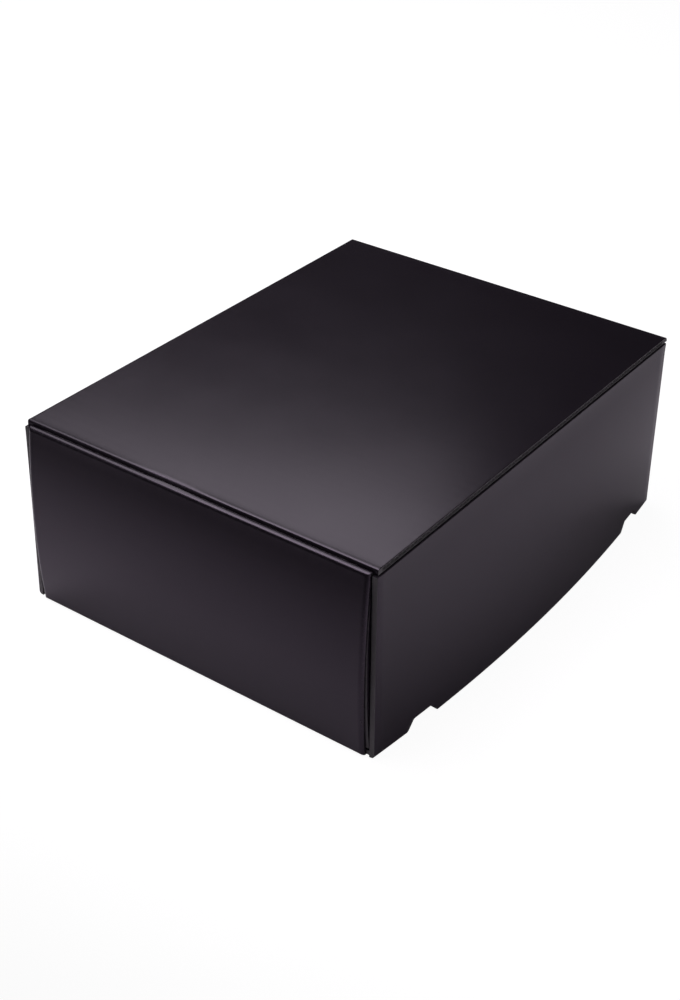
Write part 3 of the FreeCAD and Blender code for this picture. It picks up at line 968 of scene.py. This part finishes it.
class MAILER_OT_creases(bpy.types.Operator):
    """Paper that joins the lid to the back wall and the tuck flap to the lid."""

    bl_idname = "mailer.creases"
    bl_label = "Moving Creases"

    def sweep(self, name, section, materials, half, columns):
        """Closed strip along X. section is a loop of (y, z), materials has one number for each edge of it."""
        mesh = bmesh.new()
        fold_layer = mesh.verts.layers.float.new("fold")
        across_layer = mesh.verts.layers.float.new("across")
        rings = []
        for column in range(columns + 1):
            x = half * (2 * column / columns - 1)
            ring = [mesh.verts.new((x, y, z)) for y, z in section]
            for vertex in ring:
                vertex[fold_layer] = 1.0
                vertex[across_layer] = vertex.co.y
            rings.append(ring)
        count = len(section)
        for before, after in zip(rings, rings[1:]):
            for place in range(count):
                following = (place + 1) % count
                face = mesh.faces.new([before[place], after[place], after[following], before[following]])
                face.material_index = materials[place]
        for ring in (rings[0], rings[-1]):
            mesh.faces.new(ring).material_index = EDGE
        bmesh.ops.recalc_face_normals(mesh, faces=mesh.faces[:])
        return mesh_object(name, mesh)

    def outside_back(self):
        """Outer liner over the seam between back wall and lid."""
        heights = [WALL_HEIGHT - 2.4 * MM, WALL_HEIGHT - 0.4 * MM, WALL_HEIGHT]
        heights += [LID_LOW.z, LID_LOW.z + 0.3 * MM, LID_LOW.z + 0.8 * MM]
        proud = [(HALF_LENGTH + end_bulge(z) + SKIN * 0.4, z) for z in heights]
        sunk = [(y - SKIN, z) for y, z in reversed(proud)]
        materials = [FILM] * (len(proud) - 1) + [EDGE] + [LINER] * (len(proud) - 1) + [EDGE]
        strip = self.sweep("back_crease_outside", proud + sunk, materials, BACK_CREASE_END, 36)
        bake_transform(strip)
        return strip

    def inside_back(self):
        """Inner liner, doubled up on the back wall's top edge while the lid is closed."""
        root, tip = HALF_LENGTH - 0.96 * BOARD, HALF_LENGTH + 0.02 * MM
        gap = LID_LOW.z - WALL_HEIGHT
        low, high, middle = WALL_HEIGHT + 0.1 * gap, LID_LOW.z - 0.1 * gap, WALL_HEIGHT + 0.5 * gap
        paper = 0.2 * gap
        section = [
            (root, low), (tip - 0.1 * MM, low), (tip, middle), (tip - 0.1 * MM, high), (root, high),
            (root, high - paper), (tip - 0.25 * MM, high - paper), (tip - 0.2 * MM, middle),
            (tip - 0.25 * MM, low + paper), (root, low + paper),
        ]
        strip = self.sweep(
            "back_crease_inside", section, [LINER] * len(section), BACK_CREASE_END, 36)
        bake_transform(strip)
        return strip

    def front(self):
        """Crushed board between lid and tuck flap."""
        steps = 12
        gap = LID_LOW.z - FLAP_HIGH.z
        start, reach = LID_LOW.z + 0.05 * MM, gap + 0.1 * MM
        levels = [LID_LOW.z + 0.7 * MM]
        levels += [start - reach * step / steps for step in range(steps + 1)]
        levels += [FLAP_HIGH.z - 1.5 * MM]
        face = LID_LOW.y
        outer = []
        for z in levels:
            drop = max(FLAP_HIGH.z - z, 0)
            outer.append((face - SKIN * 0.3 + drop * math.tan(FLAP_LEAN), z))
        inner = [(face + 0.97 * BOARD, z) for z in levels[1:-1]]
        behind = [(y + SKIN, z) for y, z in (outer[-1], outer[0])]
        section = outer + [behind[0]] + inner[::-1] + [behind[1]]
        materials = [FILM] * (len(outer) - 1) + [EDGE] * 2 + [LINER] * (len(inner) - 1) + [EDGE] * 2
        strip = self.sweep("tuck_crease", section, materials, FLAP_HIGH.x - 0.5 * MM, 32)
        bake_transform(strip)
        return strip

    def execute(self, context):
        for strip in (self.outside_back(), self.inside_back(), self.front()):
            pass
        return {"FINISHED"}


class MAILER_OT_stage(bpy.types.Operator):
    """Pale floor, soft lamps and the camera."""

    bl_idname = "mailer.stage"
    bl_label = "Stage"

    def floor(self, settings):
        mesh = bmesh.new()
        bmesh.ops.create_grid(mesh, x_segments=1, y_segments=1, size=12)
        data = bpy.data.meshes.new("floor")
        mesh.to_mesh(data)
        mesh.free()
        floor = bpy.data.objects.new("floor", data)
        bpy.context.scene.collection.objects.link(floor)
        # A little lower than the feet, so that no two faces share a plane.
        floor.location.z = -0.0002
        material, tree = new_material("pale_studio_floor")
        # Painted shade on the floor: its colour darkens in front of the box, and the front wall mirrors it.
        place = add_node(tree, "ShaderNodeSeparateXYZ", {0: object_place(tree)}).outputs[1]
        shade_share = add_node(tree, "ShaderNodeMapRange", {0: place, 1: FLOOR_SHADE_START, 2: FLOOR_SHADE_FULL})
        shaded_ground = add_node(
            tree, "ShaderNodeMix",
            {0: shade_share.outputs[0], 6: tuple(settings.floor_colour) + (1,), 7: FLOOR_SHADE_COLOUR},
            data_type="RGBA")
        matt = add_node(tree, "ShaderNodeBsdfDiffuse", {"Color": shaded_ground.outputs[2]})
        white = add_node(tree, "ShaderNodeEmission", {"Color": (1, 1, 1, 1), "Strength": FLOOR_GLOW})
        seen = add_node(tree, "ShaderNodeLightPath").outputs["Is Camera Ray"]
        share = add_node(tree, "ShaderNodeMath", {0: seen, 1: GLOW_SHARE}, operation="MULTIPLY")
        mixed = add_node(
            tree, "ShaderNodeMixShader", {0: share.outputs[0], 1: matt.outputs[0], 2: white.outputs[0]})
        finish_material(tree, mixed.outputs[0])
        data.materials.append(material)

    def world(self, settings):
        world = bpy.data.worlds.new("studio")
        world.use_nodes = True
        tree = world.node_tree
        tree.nodes.clear()
        way = add_node(tree, "ShaderNodeTexCoord").outputs["Generated"]
        height = add_node(tree, "ShaderNodeSeparateXYZ", {0: way}).outputs[2]
        level = add_node(
            tree, "ShaderNodeMapRange",
            {0: height, 1: SKY_LOW, 2: SKY_HIGH, 3: settings.low_sky, 4: settings.high_sky})
        dim = add_node(
            tree, "ShaderNodeBackground", {"Color": (1, 1, 1, 1), "Strength": level.outputs[0]})
        white = add_node(tree, "ShaderNodeBackground", {"Color": (1, 1, 1, 1), "Strength": 1.0})
        seen = add_node(tree, "ShaderNodeLightPath").outputs["Is Camera Ray"]
        mixed = add_node(tree, "ShaderNodeMixShader", {0: seen, 1: dim.outputs[0], 2: white.outputs[0]})
        add_node(tree, "ShaderNodeOutputWorld", {0: mixed.outputs[0]})
        bpy.context.scene.world = world

    def lamp(self, name, place, turn, tilt, size, power):
        """Soft box that faces straight down where it isn't tilted."""
        data = bpy.data.lights.new(name, "AREA")
        data.shape = "RECTANGLE"
        data.size, data.size_y = size
        data.energy = power
        lamp = bpy.data.objects.new(name, data)
        lamp.location = place
        lamp.rotation_euler = (0, math.radians(tilt), math.radians(turn))
        bpy.context.scene.collection.objects.link(lamp)

    def camera(self):
        data = bpy.data.cameras.new("camera")
        data.lens = CAMERA_LENS
        data.shift_x, data.shift_y = CAMERA_SHIFT
        camera = bpy.data.objects.new("camera", data)
        camera.location = CAMERA_PLACE
        camera.rotation_euler = Euler([math.radians(turn) for turn in CAMERA_TURN])
        bpy.context.scene.collection.objects.link(camera)
        bpy.context.scene.camera = camera

    def execute(self, context):
        settings = context.scene.mailer_stage
        context.scene.view_settings.view_transform = "Standard"
        self.floor(settings)
        self.world(settings)
        for name, place, turn, tilt, size, power in LAMPS:
            self.lamp(name, place, turn, tilt, size, getattr(settings, power))
        self.camera()
        return {"FINISHED"}


class MAILER_PT_panel(bpy.types.Panel):
    """Lists the pieces of the box in the 3D view's sidebar."""

    bl_idname = "MAILER_PT_panel"
    bl_label = "Mailer Box"
    bl_space_type = "VIEW_3D"
    bl_region_type = "UI"
    bl_category = "Mailer Box"

    def draw(self, context):
        for operator in OPERATORS:
            self.layout.operator(operator.bl_idname)
        for group in (context.scene.mailer_board, context.scene.mailer_stage):
            box = self.layout.box()
            for name in group.__annotations__:
                box.prop(group, name)


OPERATORS = (
    MAILER_OT_base,
    MAILER_OT_end_walls,
    MAILER_OT_side_walls,
    MAILER_OT_corner_flaps,
    MAILER_OT_lid,
    MAILER_OT_tuck_flap,
    MAILER_OT_creases,
    MAILER_OT_stage,
)
CLASSES = (MailerBoardSettings, MailerStageSettings, *OPERATORS, MAILER_PT_panel)


def register():
    for cls in CLASSES:
        bpy.utils.register_class(cls)
    bpy.types.Scene.mailer_board = PointerProperty(type=MailerBoardSettings)
    bpy.types.Scene.mailer_stage = PointerProperty(type=MailerStageSettings)


def unregister():
    del bpy.types.Scene.mailer_stage
    del bpy.types.Scene.mailer_board
    for cls in reversed(CLASSES):
        bpy.utils.unregister_class(cls)


def main():
    register()
    bpy.ops.mailer.base()
    bpy.ops.mailer.end_walls()
    bpy.ops.mailer.side_walls()
    bpy.ops.mailer.corner_flaps()
    bpy.ops.mailer.lid()
    bpy.ops.mailer.tuck_flap()
    bpy.ops.mailer.creases()
    bpy.ops.mailer.stage()


if __name__ == "__main__":
    main()
